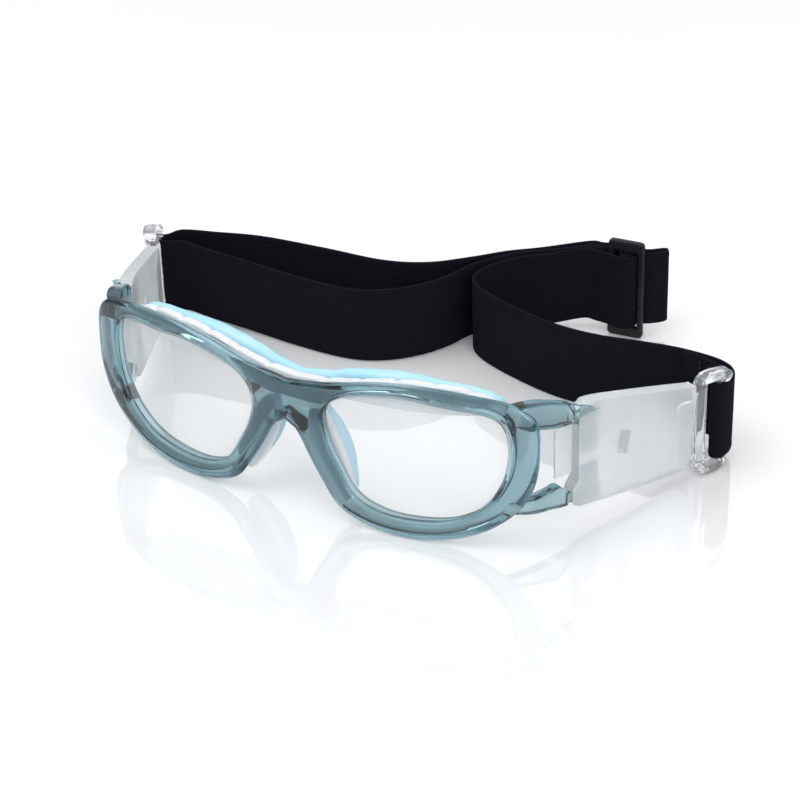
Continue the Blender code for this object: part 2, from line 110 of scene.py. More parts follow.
# Height of the strap's lower edge at each place
STRAP_AT_BUCKLE = 2.9
STRAP_ON_TABLE = 0.3
STRAP_AT_SLIDER = 4.0
SLIDER = (39.3, 127.6)
SLIDER_TURN = math.radians(5.0)
SLIDER_BAR_PITCH = 4.7
SLIDER_BAR = 1.8
SLIDER_HEIGHT = 32.0
SLIDER_RIM = 3.4
SLIDER_BEVEL = 0.42
# The strap's weave
CORD_PITCH = 0.9
WEFT_PITCH = 0.7


# ---------------------------------------------------------------- places and curves

def place(x, y, z):
    """Millimetres from the front of the bridge, with the table at z = 0, to metres in the frame."""
    return Vector((x, y - BACK_OFFSET, z)) * MM


def front_surface(x, z, depth):
    return place(x, WRAP * x * x + LEAN * (z - LEAN_HEIGHT) + depth, z)


def temple_point(side, along, out, z):
    x = HINGE[0] + math.sin(SPLAY) * along + math.cos(SPLAY) * out
    y = HINGE[1] + math.cos(SPLAY) * along - math.sin(SPLAY) * out
    return place(side * x, y, z)


def spline(points, steps, closed=False):
    """Catmull-Rom curve; steps(a, b) gives the pieces of the stretch from a to b."""
    count = len(points)
    result = []
    for i in range(count if closed else count - 1):
        if closed:
            four = [points[(i + k) % count] for k in (-1, 0, 1, 2)]
        else:
            four = [points[min(max(i + k, 0), count - 1)] for k in (-1, 0, 1, 2)]
        p0, p1, p2, p3 = (Vector(p) for p in four)
        pieces = steps(p1, p2)
        for j in range(pieces):
            t = j / pieces
            result.append(0.5 * (2 * p1 + (p2 - p0) * t + (2 * p0 - 5 * p1 + 4 * p2 - p3) * t ** 2
                                 + (3 * p1 - p0 - 3 * p2 + p3) * t ** 3))
    if not closed:
        result.append(Vector(points[-1]))
    return result


def loft_faces(bm, rings, ends=True):
    rows = [[bm.verts.new(p) for p in ring] for ring in rings]
    size = len(rows[0])
    for here, there in zip(rows, rows[1:]):
        for j in range(size):
            k = (j + 1) % size
            bm.faces.new((here[j], here[k], there[k], there[j]))
    if ends:
        bm.faces.new(rows[0])
        bm.faces.new(rows[-1][::-1])
    return rows


def finish_mesh(name, bm, mat, smooth_angle=40.0):
    bmesh.ops.recalc_face_normals(bm, faces=bm.faces)
    mesh = bpy.data.meshes.new(name)
    bm.to_mesh(mesh)
    bm.free()
    mesh.shade_smooth()
    mesh.set_sharp_from_angle(angle=math.radians(smooth_angle))
    obj = bpy.data.objects.new(name, mesh)
    obj.data.materials.append(mat)
    bpy.context.scene.collection.objects.link(obj)
    return obj


def loft(name, rings, mat, smooth_angle=40.0):
    bm = bmesh.new()
    loft_faces(bm, rings)
    return finish_mesh(name, bm, mat, smooth_angle)


def apply_modifiers(obj, smooth_angle=40.0):
    """Turn the object's modifiers into its mesh."""
    graph = bpy.context.evaluated_depsgraph_get()
    mesh = bpy.data.meshes.new_from_object(obj.evaluated_get(graph))
    obj.modifiers.clear()
    obj.data = mesh
    mesh.shade_smooth()
    mesh.set_sharp_from_angle(angle=math.radians(smooth_angle))
    return obj


def combine(obj, others, operation):
    """Boolean with several tool objects, which are then removed."""
    for other in others:
        cut = obj.modifiers.new("shape", "BOOLEAN")
        cut.operation = operation
        cut.solver = "EXACT"
        cut.object = other
        apply_modifiers(obj)
        bpy.data.objects.remove(other, do_unlink=True)
    return obj


def bevel(obj, width, segments=3, angle=35.0):
    edge = obj.modifiers.new("edge", "BEVEL")
    edge.width = width * MM
    edge.segments = segments
    edge.limit_method = "ANGLE"
    edge.angle_limit = math.radians(angle)
    edge.harden_normals = False
    return apply_modifiers(obj)


# ---------------------------------------------------------------- materials

class Shader:
    """Small helper to write node materials in few lines."""

    def __init__(self, name):
        self.mat = bpy.data.materials.new(name)
        self.mat.use_nodes = True
        self.nodes = self.mat.node_tree.nodes
        self.links = self.mat.node_tree.links
        self.main = self.nodes["Principled BSDF"]
        self.where = self.nodes.new("ShaderNodeTexCoord").outputs["Object"]

    def set(self, **values):
        for key, value in values.items():
            self.main.inputs[key.replace("_", " ").title().replace("Ior", "IOR")].default_value = value
        return self

    def noise(self, scale, detail=3.0, source=None):
        node = self.nodes.new("ShaderNodeTexNoise")
        node.inputs["Scale"].default_value = scale
        node.inputs["Detail"].default_value = detail
        self.links.new(source or self.where, node.inputs["Vector"])
        return node.outputs["Fac"]

    def ramp(self, value, low, high, at=(0.35, 0.65)):
        node = self.nodes.new("ShaderNodeValToRGB")
        node.color_ramp.elements[0].position = at[0]
        node.color_ramp.elements[1].position = at[1]
        node.color_ramp.elements[0].color = (*low, 1.0)
        node.color_ramp.elements[1].color = (*high, 1.0)
        self.links.new(value, node.inputs["Fac"])
        return node.outputs["Color"]

    def math(self, operation, a, b=None):
        node = self.nodes.new("ShaderNodeMath")
        node.operation = operation
        for i, value in enumerate((a, b)):
            if value is None:
                continue
            if isinstance(value, (int, float)):
                node.inputs[i].default_value = value
            else:
                self.links.new(value, node.inputs[i])
        return node.outputs[0]

    def attribute(self, name):
        node = self.nodes.new("ShaderNodeAttribute")
        node.attribute_name = name
        return node.outputs["Fac"]

    def bump(self, height, strength, distance):
        node = self.nodes.new("ShaderNodeBump")
        node.inputs["Strength"].default_value = strength
        node.inputs["Distance"].default_value = distance * MM
        self.links.new(height, node.inputs["Height"])
        self.links.new(node.outputs["Normal"], self.main.inputs["Normal"])

    def absorb(self, colour, density):
        """Light lost inside the plastic, so that thick places are darker."""
        node = self.nodes.new("ShaderNodeVolumeAbsorption")
        node.inputs["Color"].default_value = (*colour, 1.0)
        node.inputs["Density"].default_value = density
        self.links.new(node.outputs["Volume"], self.nodes["Material Output"].inputs["Volume"])

    def link(self, output, socket):
        self.links.new(output, self.main.inputs[socket])


def spread(value, amount):
    return tuple(min(1.0, v * amount) for v in value)


def clear_plastic(name, tint, roughness, ior, clearness=1.0, absorb=None):
    """Polished clear moulding, with faint flow lines and a little dust in its gloss."""
    s = Shader(name)
    s.set(roughness=roughness, ior=ior, transmission_weight=clearness)
    s.link(s.ramp(s.noise(90.0), spread(tint, 0.94), spread(tint, 1.04)), "Base Color")
    s.link(s.ramp(s.noise(900.0, 2.0), (roughness,) * 3, (roughness + 0.04,) * 3, (0.6, 0.8)), "Roughness")
    s.bump(s.noise(160.0, 1.0), 0.05, 0.2)
    if absorb:
        s.absorb(*absorb)
    return s.mat


def lens_material():
    s = Shader("clear_lens")
    s.set(roughness=0.02, ior=1.5, alpha=0.13, coat_weight=0.4, coat_roughness=0.02)
    s.link(s.ramp(s.noise(40.0), (0.86, 0.90, 0.93), (0.93, 0.95, 0.97)), "Base Color")
    s.link(s.ramp(s.noise(60.0, 2.0), (0.02,) * 3, (0.03,) * 3), "Roughness")
    return s.mat


def milky_material(name, tint, transmission, roughness):
    s = Shader(name)
    s.set(ior=1.43, transmission_weight=transmission, subsurface_weight=0.25, subsurface_scale=0.003)
    s.main.inputs["Subsurface Radius"].default_value = (1.0, 1.0, 1.0)
    s.link(s.ramp(s.noise(120.0), spread(tint, 0.96), spread(tint, 1.02)), "Base Color")
    s.link(s.ramp(s.noise(300.0, 2.0), (roughness,) * 3, (roughness + 0.08,) * 3), "Roughness")
    return s.mat


def silicone_material():
    s = Shader("blue_silicone")
    s.set(ior=1.41, subsurface_weight=0.45, subsurface_scale=0.004, coat_weight=0.15, coat_roughness=0.25)
    s.main.inputs["Subsurface Radius"].default_value = (0.5, 0.9, 1.0)
    s.link(s.ramp(s.noise(80.0), (0.35, 0.61, 0.75), (0.40, 0.65, 0.79)), "Base Color")
    s.link(s.ramp(s.noise(1800.0, 2.0), (0.36,) * 3, (0.5,) * 3), "Roughness")
    s.bump(s.noise(2600.0, 2.0), 0.12, 0.1)
    return s.mat


def strap_material():
    """Knitted elastic: fine cords along its length, crossed by a tighter weft."""
    s = Shader("black_elastic")
    s.set(roughness=0.9, specular_ior_level=0.06)
    s.main.inputs["Sheen Tint"].default_value = (0.62, 0.58, 0.75, 1.0)
    along = s.attribute("along")
    up = s.attribute("up")
    cord = s.math("ABSOLUTE", s.math("SINE", s.math("MULTIPLY", up, math.pi / CORD_PITCH)))
    shift = s.math("MULTIPLY", s.math("FLOOR", s.math("DIVIDE", up, CORD_PITCH)), WEFT_PITCH / 2)
    shifted = s.math("ADD", along, shift)
    weft = s.math("ABSOLUTE", s.math("SINE", s.math("MULTIPLY", shifted, math.pi / WEFT_PITCH)))
    knit = s.math("ADD", s.math("MULTIPLY", cord, 0.6), s.math("MULTIPLY", weft, 0.4))
    fuzz = s.math("ADD", knit, s.math("MULTIPLY", s.noise(2500.0, 2.0), 0.5))
    s.link(s.ramp(fuzz, (0.0015, 0.0013, 0.0022), (0.0085, 0.0075, 0.012), (0.3, 1.2)), "Base Color")
    s.bump(fuzz, 0.55, 0.16)
    return s.mat


def thread_material():
    s = Shader("black_thread")
    s.set(sheen_weight=0.2, sheen_roughness=0.4)
    s.link(s.ramp(s.noise(3000.0), (0.006, 0.006, 0.008), (0.03, 0.03, 0.036)), "Base Color")
    s.link(s.ramp(s.noise(900.0), (0.6,) * 3, (0.8,) * 3), "Roughness")
    return s.mat


def slider_material():
    s = Shader("black_acetal")
    s.set(ior=1.48, specular_ior_level=0.3)
    s.link(s.ramp(s.noise(220.0), (0.006, 0.006, 0.008), (0.012, 0.012, 0.015)), "Base Color")
    s.link(s.ramp(s.noise(700.0, 4.0), (0.30,) * 3, (0.46,) * 3), "Roughness")
    s.bump(s.noise(1400.0, 3.0), 0.1, 0.1)
    return s.mat


FRAME_MAT = clear_plastic("teal_polycarbonate", (0.74, 0.86, 0.88), 0.0, 1.58,
                          absorb=((0.22, 0.49, 0.57), 225.0))
BUCKLE_MAT = clear_plastic("clear_buckle", (0.95, 0.96, 0.98), 0.0, 1.46, clearness=0.9)
LENS_MAT = lens_material()
CARRIER_MAT = milky_material("milky_carrier", (0.93, 0.94, 0.97), 0.30, 0.28)
PLATE_MAT = milky_material("frosted_plate", (0.95, 0.975, 1.0), 0.70, 0.30)
PAD_MAT = silicone_material()
STRAP_MAT = strap_material()
THREAD_MAT = thread_material()
SLIDER_MAT = slider_material()


def give(obj, body, nodes=()):
    """Put a finished piece in the frame: its body and the CAD nodes that it stands for."""
    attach(obj, body)
    if nodes:
        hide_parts(*nodes)
    return obj


# ---------------------------------------------------------------- front

# The rim's section in three runs: the opening's lip, the outer side, and the step on the front.
# Each point is (distance from the opening or, for the outer side, in from the outer edge; depth)
LIP = [(0.35, 0.4), (0.0, 0.9), (0.0, GROOVE_FRONT), (GROOVE_DEPTH, GROOVE_FRONT),
       (GROOVE_DEPTH, GROOVE_BACK), (0.45, GROOVE_BACK), (0.7, 4.8), (1.1, 5.2), (1.7, RIM_DEPTH)]
OUTER_SIDE = [(3.3, RIM_DEPTH), (2.6, 5.0), (2.0, 4.4), (1.35, 3.6), (0.85, 2.9), (0.45, 2.2), (0.15, 1.5),
              (0.0, 1.0), (0.1, 0.6), (0.4, 0.25), (0.9, 0.06), (1.5, 0.0)]
FRONT_STEP = [(1.5, 0.0), (1.3, 0.16), (0.85, 0.18)]
# Height of the rounded edge at the bridge's top and at its bottom
BRIDGE_EDGE = 3.6


def crossing(curve, centre, angle):
    """Where the ray from the centre at this angle meets the curve."""
    direction = Vector((math.cos(angle), math.sin(angle)))
    normal = Vector((-direction.y, direction.x))
    for i, p in enumerate(curve):
        q = curve[(i + 1) % len(curve)]
        a, b = (p - centre).dot(normal), (q - centre).dot(normal)
        if a * b <= 0 and a != b:
            hit = p + (q - p) * (a / (a - b))
            if (hit - centre).dot(direction) > 0:
                return hit
    return centre


def rim_rows(stations=144, middle_steps=8):
    """Matching points of opening and outer edge round one half, and the way in from the outer point."""
    centre = Vector(OPENING_CENTRE)
    opening = spline(OPENING, lambda a, b: 16, closed=True)
    edge = spline(OUTER[BRIDGE_BOTTOM:] + OUTER[:BRIDGE_TOP + 1], lambda a, b: 16)
    top = OUTER[BRIDGE_TOP][1]
    bottom = OUTER[BRIDGE_BOTTOM][1]
    high = top - BRIDGE_EDGE
    low = bottom + BRIDGE_EDGE
    heights = [top] + [high + (low - high) * i / middle_steps for i in range(middle_steps + 1)] + [bottom]
    ways_in = {top: Vector((0.0, -1.0)), bottom: Vector((0.0, 1.0))}
    rows = []
    for z in heights:
        inner = crossing(opening, centre, math.atan2(z - centre.y, -centre.x))
        rows.append((inner, Vector((0.0, z)), ways_in.get(z, Vector((0.0, 0.0)))))
    start = math.atan2(bottom - centre.y, -centre.x)
    sweep = 2 * math.pi + math.atan2(top - centre.y, -centre.x) - start
    angles = [start + sweep * i / stations for i in range(1, stations)]
    inners = [crossing(opening, centre, angle) for angle in angles]
    outers = [crossing(edge, centre, angle) for angle in angles]
    for i, (inner, outer) in enumerate(zip(inners, outers)):
        before = outers[i - 1] if i else Vector((0.0, bottom))
        after = outers[i + 1] if i + 1 < len(outers) else Vector((0.0, top))
        run = after - before
        rows.append((inner, outer, Vector((-run.y, run.x)).normalized()))
    return rows


def half_front(bm, side, rows):
    """One half of the front; faces on the middle plane are left out so that the halves join."""
    rings = []
    for inner, outer, way_in in rows:
        outward = (outer - inner).normalized()
        section = [(inner + outward * u, d) for u, d in LIP]
        section += [(outer + way_in * u, d) for u, d in OUTER_SIDE]
        section += [(inner + outward * u, d) for u, d in FRONT_STEP]
        rings.append([bm.verts.new(front_surface(side * p.x, p.y, d)) for p, d in section])
    for i, here in enumerate(rings):
        there = rings[(i + 1) % len(rings)]
        for j in range(len(here)):
            k = (j + 1) % len(here)
            face = (here[j], here[k], there[k], there[j])
            if any(abs(v.co.x) > 1e-7 for v in face):
                bm.faces.new(face)


def rounded_section(width, height, corner, steps=4):
    """Rounded rectangle as (across, up) pairs."""
    points = []
    for cx, cz, start in ((1, 1, 0), (-1, 1, 90), (-1, -1, 180), (1, -1, 270)):
        for i in range(steps + 1):
            angle = math.radians(start + 90 * i / steps)
            points.append((cx * (width / 2 - corner) + corner * math.cos(angle),
                           cz * (height / 2 - corner) + corner * math.sin(angle)))
    return points


# Middle line of each arm from inside the rim to the hinge, with its width and height
UPPER_ARM = [(60.8, 11.2, 40.0, 3.0, 4.0), (63.6, 13.2, 39.5, 4.6, 6.8), (66.6, 17.6, 38.5, 4.6, 7.8),
             (69.0, 22.2, 37.0, 4.0, 7.4), (70.4, 25.4, 36.0, 3.6, 6.6), (71.2, 27.3, 35.3, 3.2, 6.0)]
LOWER_ARM = [(58.9, 10.6, 12.2, 2.4, 2.4), (62.0, 12.6, 11.7, 3.4, 3.8), (65.4, 16.4, 11.3, 3.8, 4.8),
             (68.0, 20.8, 11.4, 3.4, 6.0), (69.3, 23.2, 11.4, 3.2, 7.0), (70.5, 25.9, 9.8, 3.0, 4.6)]


ARM_CORNER = 0.8


def arm_rings(side, line, lug, lug_along):
    """Sections of an arm, ending in the thin lug that sits in the temple's pocket."""
    rings = []
    points = spline(line, lambda a, b: 5)
    for i, (x, y, z, width, height) in enumerate(points):
        turn = SPLAY * (0.5 + 0.5 * i / (len(points) - 1))
        rings.append([place(side * (x + math.cos(turn) * a), y - math.sin(turn) * a, z + h)
                      for a, h in rounded_section(width, height, min(ARM_CORNER, width * 0.3))])
    for along in lug_along:
        rings.append([temple_point(side, along, a, (lug[0] + lug[1]) / 2 + h)
                      for a, h in rounded_section(LUG_THICKNESS, lug[1] - lug[0], 0.3)])
    return rings


# Along the temple, height of the middle, height, distance out and thickness
ARM_TIP = [(-7.4, 37.4, 5.0, 0.7, 1.4), (-5.6, 37.2, 4.8, 1.1, 1.9), (-4.0, 37.0, 4.4, 2.0, 1.8),
           (-2.6, 36.9, 3.8, 3.05, 0.8), (-0.8, 36.6, 3.0, 3.0, 0.8), (1.4, 36.1, 1.9, 2.85, 0.8),
           (3.6, 35.5, 0.5, 2.85, 0.5)]


def arm_tip(side):
    """Flat tip of the upper arm that lies over the plate's front corner."""
    rings = []
    for along, z, height, out, thick in ARM_TIP:
        rings.append([temple_point(side, along, out + a, z + h)
                      for a, h in rounded_section(thick, height, min(0.3, height * 0.4))])
    return rings


# Blocks of the front inside a plate: along, height and thickness; then the room cut for them
KNUCKLES = [((-0.4, 4.0), (23.0, 34.4), 1.8), ((-0.4, 3.6), (11.6, 18.4), 1.8),
            ((-0.2, 3.4), (10.0, 12.4), 0.9), ((-0.6, 3.6), (7.8, 10.6), 1.8)]
KNUCKLE_POCKETS = [((-1.0, 4.9), (22.4, 35.0)), ((-1.0, 4.9), (7.2, 19.0))]


def make_front():
    bm = bmesh.new()
    rows = rim_rows()
    half_front(bm, 1, rows)
    half_front(bm, -1, rows)
    bmesh.ops.remove_doubles(bm, verts=bm.verts, dist=1e-7)
    front = finish_mesh("goggle_frame", bm, FRAME_MAT, 32)
    for side in (1, -1):
        tools = [loft("tool_arm", arm_rings(side, UPPER_ARM, UPPER_LUG, UPPER_LUG_ALONG), FRAME_MAT),
                 loft("tool_arm", arm_rings(side, LOWER_ARM, LOWER_LUG, LOWER_LUG_ALONG), FRAME_MAT),
                 loft("tool_arm", arm_tip(side), FRAME_MAT)]
        for along, height, thick in KNUCKLES:
            tools.append(block(side, along, (-thick / 2, thick / 2), height, mat=FRAME_MAT))
        combine(front, tools, "UNION")
    return give(front, "front", ["frame_front"])


# The lens's edge as (distance out past the opening, depth), from its back face to its front face
LENS_MIDDLE = (GROOVE_FRONT + GROOVE_BACK) / 2
LENS_INSET = 0.7
LENS_FACE = -1.3
LENS_BACK = LENS_MIDDLE + 0.9
LENS_FRONT = LENS_MIDDLE - 1.3
LENS_EDGE = [(LENS_INSET, LENS_BACK), (LENS_INSET, LENS_MIDDLE - 0.9), (0.0, LENS_MIDDLE - 0.9),
             (-0.5, LENS_MIDDLE - 0.95), (-0.8, LENS_MIDDLE - 1.25), (LENS_FACE, LENS_FRONT)]
# Sizes of the rings that fill a face, as shares of the outline
LENS_SHARES = (0.8, 0.6, 0.4, 0.2, 0.06)


def make_lens(side, rows):
    """A thin curved pane whose bevelled edge sits in the rim's groove."""
    middle = Vector((0.0, 0.0))
    for inner, _, _ in rows:
        middle += inner / len(rows)
    bm = bmesh.new()

    def ring(inset, share, depth):
        points = []
        for inner, outer, _ in rows:
            p = inner + (outer - inner).normalized() * inset
            p = middle + (p - middle) * share
            points.append(bm.verts.new(front_surface(side * p.x, p.y, depth)))
        return points

    rings = [ring(LENS_FACE, share, LENS_BACK) for share in LENS_SHARES[::-1]]
    rings += [ring(inset, 1.0, depth) for inset, depth in LENS_EDGE]
    rings += [ring(LENS_FACE, share, LENS_FRONT) for share in LENS_SHARES]
    for here, there in zip(rings, rings[1:]):
        for i in range(len(here)):
            k = (i + 1) % len(here)
            bm.faces.new((here[i], here[k], there[k], there[i]))
    bm.faces.new(rings[0])
    bm.faces.new(rings[-1])
    hand = "left" if side > 0 else "right"
    return give(finish_mesh("lens_pane_" + hand, bm, LENS_MAT, 30), "front", ["lens_" + hand])


# ---------------------------------------------------------------- pads

BROW_TOP = [(0.0, 38.0), (8.5, 39.3), (14.0, 41.0), (20.0, 41.9), (28.0, 42.8), (34.0, 42.9), (41.0, 42.6),
            (47.0, 42.4), (52.0, 41.6), (57.0, 39.6), (62.0, 37.4)]
CARRIER_TOP = [(0.0, 38.2), (8.0, 38.7), (14.0, 39.7), (20.0, 41.0), (28.0, 42.5), (34.0, 43.2), (46.0, 43.3),
               (52.0, 42.2), (58.0, 39.9), (62.0, 37.6)]
CARRIER_BOTTOM = 34.6
CARRIER_DEPTHS = (5.7, 8.2)
CARRIER_HALF_WIDTH = 59.0
CARRIER_CORNER = 0.5
MIDDLE_TAB_DROP = 1.9
MIDDLE_TAB_REACH = 9.0
NOTCH_DEPTH = 0.45
PAD_HALF_WIDTH = 57.0
PAD_CORNER = 1.5
PAD_RISE = 0.2
# The brow pad is thickest at this distance from the middle, by this much
SWELL_AT = 26.0
SWELL_WIDTH = 14.0
SWELL = 1.2
PAD_BOTTOM = 33.6
PAD_FRONT = 8.4
PAD_BACK = 11.4
SCALLOP = 0.9
# Waves of the scalloped edge and of the notches above it, in radians a millimetre
SCALLOP_RATE = 0.62
# Where a brow strip starts to round off, as a share of its half width, and its size at the very end
END_ROUND = 0.97
END_SIZE = 0.02
# How much of its height a brow strip loses towards its ends
END_TAPER = 0.55


def height_at(table, x):
    """Height read from a short list of (distance from the middle, height), smoothly."""
    x = abs(x)
    for (x0, z0), (x1, z1) in zip(table, table[1:]):
        if x <= x1:
            t = (x - x0) / (x1 - x0)
            return z0 + (z1 - z0) * t * t * (3 - 2 * t) * 0.5 + (z1 - z0) * t * 0.5
    return table[-1][1]


def brow_rings(depths, bottom_at, top_at, half_width, corner):
    """Sections of a strip across the brow, one every half millimetre; its ends are rounded."""
    stations = round(4 * half_width)
    rings = []
    for i in range(stations + 1):
        x = half_width * (2 * i / stations - 1)
        end = abs(x) / half_width
        high = top_at(x)
        low = high - (high - bottom_at(x)) * (1.0 - END_TAPER * end ** 6)
        front, back = depths(x)
        past = max(0.0, end - END_ROUND) / (1.0 - END_ROUND)
        shrink = math.sqrt(max(0.0, 1.0 - past ** 2)) * (1.0 - END_SIZE) + END_SIZE
        middle_z = (high + low) / 2
        middle_d = (front + back) / 2
        section = rounded_section(back - front, high - low, min(corner, (back - front) * 0.48), 5)
        rings.append([front_surface(x, middle_z + h * shrink, middle_d + a * shrink) for a, h in section])
    return rings


def make_brow():
    def carrier_top(x):
        notch = max(0.0, math.cos((abs(x) - MIDDLE_TAB_REACH) * SCALLOP_RATE)) ** 6
        return height_at(CARRIER_TOP, x) - NOTCH_DEPTH * notch

    def carrier_bottom(x):
        return CARRIER_BOTTOM - math.exp(-(x / MIDDLE_TAB_REACH) ** 6) * MIDDLE_TAB_DROP

    def pad_depths(x):
        swell = math.exp(-((abs(x) - SWELL_AT) / SWELL_WIDTH) ** 2)
        return PAD_FRONT, PAD_BACK + SWELL * swell

    def pad_top(x):
        return height_at(BROW_TOP, x) + PAD_RISE

    def pad_bottom(x):
        return PAD_BOTTOM + SCALLOP * math.cos(x * SCALLOP_RATE)

    carrier_rings = brow_rings(lambda x: CARRIER_DEPTHS, carrier_bottom, carrier_top,
                               CARRIER_HALF_WIDTH, CARRIER_CORNER)
    carrier = loft("brow_carrier", carrier_rings, CARRIER_MAT)
    give(carrier, "front", ["insert_carrier"])
    pad_rings = brow_rings(pad_depths, pad_bottom, pad_top, PAD_HALF_WIDTH, PAD_CORNER)
    pad = loft("brow_cushion", pad_rings, PAD_MAT)
    give(pad, "front", ["brow_pad"])


def nose_rings(side, half_width, ends, depth_at, corner):
    """Sections of a pad down the side of the nose; ends is how many steps it stops short by."""
    line = spline(NOSE_LINE, lambda a, b: 12)
    line = line[ends:len(line) - ends]
    rings = []
    for i, p in enumerate(line):
        ahead = line[min(i + 1, len(line) - 1)] - line[max(i - 1, 0)]
        across = Vector((ahead.y, -ahead.x)).normalized()
        t = i / (len(line) - 1)
        w = half_width * (0.12 + 0.88 * math.sin(math.pi * t) ** 0.55)
        front, back = depth_at(t)
        middle = (front + back) / 2
        section = rounded_section(back - front, 2 * w, min(corner, w * 0.8, (back - front) * 0.45), 5)
        rings.append([front_surface(side * (p.x + across.x * a), p.y + across.y * a, middle + d)
                      for d, a in section])
    return rings


def make_nose(side):
    hand = "left" if side > 0 else "right"
    base = loft("nose_base_" + hand, nose_rings(side, 3.4, 0, lambda t: (5.8, 8.0), 0.5), CARRIER_MAT)
    give(base, "front", ["nose_pad_base_" + hand])
    pad = loft("nose_cushion_" + hand,
               nose_rings(side, 3.0, 2, lambda t: (8.2, 10.2 + 3.0 * math.sin(math.pi * t)), 1.6), PAD_MAT)
    give(pad, "front", ["nose_pad_" + hand])


# ---------------------------------------------------------------- temples

def rectangle(along, height):
    return [(along[0], height[0]), (along[1], height[0]), (along[1], height[1]), (along[0], height[1])]


def prism(name, side, outline, out, mat=PLATE_MAT):
    """An outline of (along, height) pairs made solid between two distances out."""
    return loft(name, [[temple_point(side, a, b, z) for a, z in outline] for b in out], mat)


def block(side, along, out, height, mat=PLATE_MAT):
    """A box in a temple's own directions."""
    return prism("tool_block", side, rectangle(along, height), out, mat)


def make_temple(side):
    hand = "left" if side > 0 else "right"
    body = "temple_" + hand
    outer = PLATE_THICKNESS / 2
    inner = PLATE_INNER_TRIM - outer
    outline = [(p.x, p.y) for p in spline(PLATE, lambda a, b: 6, closed=True)]
    plate = prism("temple_cover_" + hand, side, outline, (inner, outer))
    bevel(plate, PLATE_BEVEL, 4, 60)
    tongue = block(side, (TONGUE[0], TONGUE_ROOT), (inner, inner + TONGUE_THICKNESS), TONGUE[1:])
    combine(plate, [tongue], "UNION")
    slit = TAB_THICKNESS / 2 + TAB_SIDE_CLEARANCE
    cuts = [prism("tool_slot", side, SLOT, (-outer - 1, outer + 1)),
            block(side, (TAB[0] - TAB_CLEARANCE, BEHIND_PLATE), (-slit, slit),
                  (TAB[1] - TAB_CLEARANCE, TAB[2] + TAB_CLEARANCE))]
    room = POCKET_WIDTH / 2
    for low, high in (UPPER_LUG, LOWER_LUG):
        cuts.append(block(side, POCKET, (-room, room), (low - POCKET_CLEARANCE, high + POCKET_CLEARANCE)))
    # a hair wider than the lugs' pockets, so that the cuts share no face
    room += CUT_OVERLAP
    for along, height in KNUCKLE_POCKETS:
        cuts.append(block(side, along, (-room, room), height))
    combine(plate, cuts, "DIFFERENCE")
    give(plate, body, ["temple_plate_" + hand])
    make_buckle(side, hand, body)


# Centre line of the clear ring: along the temple, height, and how far it bows outwards
RING = [(41.0, 4.6, 0.0), (41.0, 14.0, 0.0), (41.0, 25.6, 0.0), (40.7, 28.2, 0.5), (41.0, 30.0, 1.3),
        (43.0, 30.8, 1.9), (46.0, 30.4, 2.0), (48.6, 29.5, 1.4), (49.2, 28.3, 0.7), (47.8, 26.6, 0.4),
        (47.6, 24.0, 0.4), (47.6, 14.0, 0.4), (47.6, 4.4, 0.4), (48.0, 2.6, 0.8), (46.4, 1.8, 1.5),
        (43.6, 1.7, 1.8), (41.2, 1.8, 1.5), (40.6, 2.8, 0.6)]
# The ring's rear bar is the thin stretch behind this place and between these heights
REAR_BAR_FROM = 46.9
REAR_BAR_SPAN = (4.0, 27.0)
REAR_BAR_SIZE = 2 * REAR_BAR_RADIUS
RING_MIDDLE = 15.5
RING_REACH = 13.5


def make_buckle(side, hand, body):
    """The clear ring that the strap passes through, with the tab that sits in the plate."""
    line = spline(RING, lambda a, b: 8, closed=True)
    bm = bmesh.new()
    rings = []
    for i, p in enumerate(line):
        ahead = line[(i + 1) % len(line)] - line[i - 1]
        way = Vector((ahead.x, ahead.y)).normalized()
        normal = Vector((way.y, -way.x))
        if p.x > REAR_BAR_FROM and REAR_BAR_SPAN[0] < p.y < REAR_BAR_SPAN[1]:
            across = REAR_BAR_SIZE
            thick = REAR_BAR_SIZE
            corner = 0.9
        else:
            end = min(1.0, abs(p.y - RING_MIDDLE) / RING_REACH) ** 6
            across = 4.0 - 1.4 * end
            thick = 2.6 + 1.4 * end
            corner = 0.7
        rings.append([temple_point(side, p.x + normal.x * a, p.z + h, p.y + normal.y * a)
                      for a, h in rounded_section(across, thick, corner)])
    rows = [[bm.verts.new(q) for q in ring] for ring in rings]
    for here, there in zip(rows, rows[1:] + rows[:1]):
        for j in range(len(here)):
            k = (j + 1) % len(here)
            bm.faces.new((here[j], here[k], there[k], there[j]))
    buckle = finish_mesh("strap_buckle_" + hand, bm, BUCKLE_MAT, 50)
    tab = block(side, (TAB[0], TAB_BACK), (-TAB_THICKNESS / 2, TAB_THICKNESS / 2), TAB[1:])
    combine(buckle, [tab], "UNION")
    give(buckle, body, ["temple_buckle_" + hand])


# ---------------------------------------------------------------- strap and slider

def slider_point(along, towards_front, z):
    """A point in the slider's own directions, measured from the middle of its centre bar."""
    x = SLIDER[0] + math.cos(SLIDER_TURN) * along + math.sin(SLIDER_TURN) * towards_front
    y = SLIDER[1] + math.sin(SLIDER_TURN) * along - math.cos(SLIDER_TURN) * towards_front
    return Vector((x, y, z))


def buckle_point(side, along, out, z=STRAP_AT_BUCKLE):
    point = temple_point(side, along, out, z) / MM
    return Vector((point.x, point.y + BACK_OFFSET, point.z))


def bar_loop(side, first, last, pieces):
    """The strap round a buckle's rear bar; angles in degrees from straight back."""
    radius = REAR_BAR_RADIUS + REAR_BAR_GAP + STRAP_THICKNESS / 2
    points = []
    for i in range(pieces + 1):
        angle = math.radians(first + (last - first) * i / pieces)
        points.append(buckle_point(side, REAR_BAR + radius * math.cos(angle),
                                   REAR_BAR_OUT + radius * math.sin(angle)))
    return points


def at_slider(pairs):
    return [slider_point(a, n, STRAP_AT_SLIDER) for a, n in pairs]


